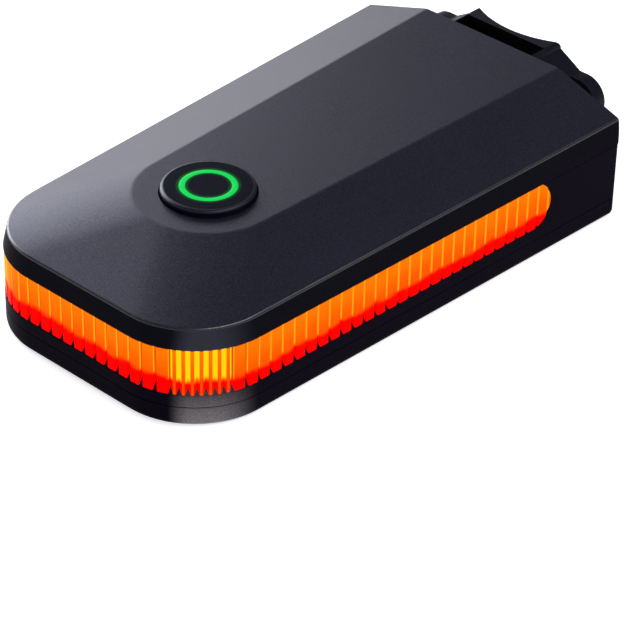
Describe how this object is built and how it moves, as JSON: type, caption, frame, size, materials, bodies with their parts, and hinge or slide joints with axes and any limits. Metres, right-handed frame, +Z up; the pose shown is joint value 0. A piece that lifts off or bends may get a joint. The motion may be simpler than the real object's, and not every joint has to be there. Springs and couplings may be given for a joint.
{
  "type": "bike tail light",
  "caption": "Flat rechargeable bicycle tail light with a ribbed wrap-around red lens, lit push button and slide-off seatpost bracket.",
  "frame": {"origin": "under the middle of the whole object, on the plane of the flat underside", "axes": "+Z up through the push button, +Y forward towards the seatpost bracket, +X to the right of the lit rear face as the rider sits"},
  "size_m": [0.0478, 0.0868, 0.0193],
  "materials": {
    "case_black": "fine moulded grain, slightly satin",
    "lens_red": "clear red, glossy, lit from inside",
    "seal_rubber": "soft black silicone",
    "soft_black": "matt black elastomer",
    "button_black": "smooth satin",
    "ring_green": "clear diffuser, lit green",
    "spring_steel": "bright",
    "switch_black": "moulded",
    "switch_white": "moulded",
    "board_green": "solder mask",
    "board_white": "white solder mask",
    "chip_black": "moulded",
    "ferrite_grey": "sintered",
    "lamp_green": "clear resin",
    "lamp_red": "clear resin over an amber-red die",
    "connector_white": "moulded",
    "reflector_white": "white",
    "cell_foil": "laminated foil",
    "foam_black": "adhesive foam",
    "nickel_strip": "bright nickel",
    "socket_steel": "plated",
    "screw_steel": "zinc plated",
    "bracket_black": "fine moulded grain"
  },
  "bodies": {
    "mount": {"seatpost_bracket": "bracket_black", "grip_pad": "soft_black"},
    "light": {"top_cover": "case_black", "housing": "case_black", "bottom_cover": "case_black", "lens": "lens_red", "case_gasket": "seal_rubber", "button_seal": "seal_rubber", "tact_switch": "switch_black", "main_board": "board_green", "rear_led_board": "board_white", "side_led_board_right": "board_white", "side_led_board_left": "board_white", "board_chips": "chip_black", "power_inductor": "ferrite_grey", "button_leds": "lamp_green", "rear_leds": "lamp_red", "side_leds_right": "lamp_red", "side_leds_left": "lamp_red", "board_links": "connector_white", "reflector": "reflector_white", "battery_cell": "cell_foil", "battery_pad": "foam_black", "battery_tabs": "nickel_strip", "usb_socket": "socket_steel", "usb_tongue": "switch_black", "port_pin": "screw_steel", "case_screws": "screw_steel"},
    "button": {"power_button": "button_black", "button_light_ring": "ring_green", "button_clip": "spring_steel", "switch_plunger": "switch_white"},
    "door": {"port_door": "soft_black"}
  },
  "joints": [
    {"name": "bracket_slide", "type": "slide", "parent": "mount", "child": "light", "axis": [0, 0, 1], "range_m": [0, 0.017]},
    {"name": "button_press", "type": "slide", "parent": "light", "child": "button", "axis": [0, 0, -1], "range_m": [0, 0.0004], "stiffness_N_per_m": 800},
    {"name": "door_hinge", "type": "hinge", "parent": "light", "child": "door", "pos_m": [-0.02306, 0.03476, 0.00807], "axis": [0, 0, -1], "range_deg": [0, 95]}
  ]
}
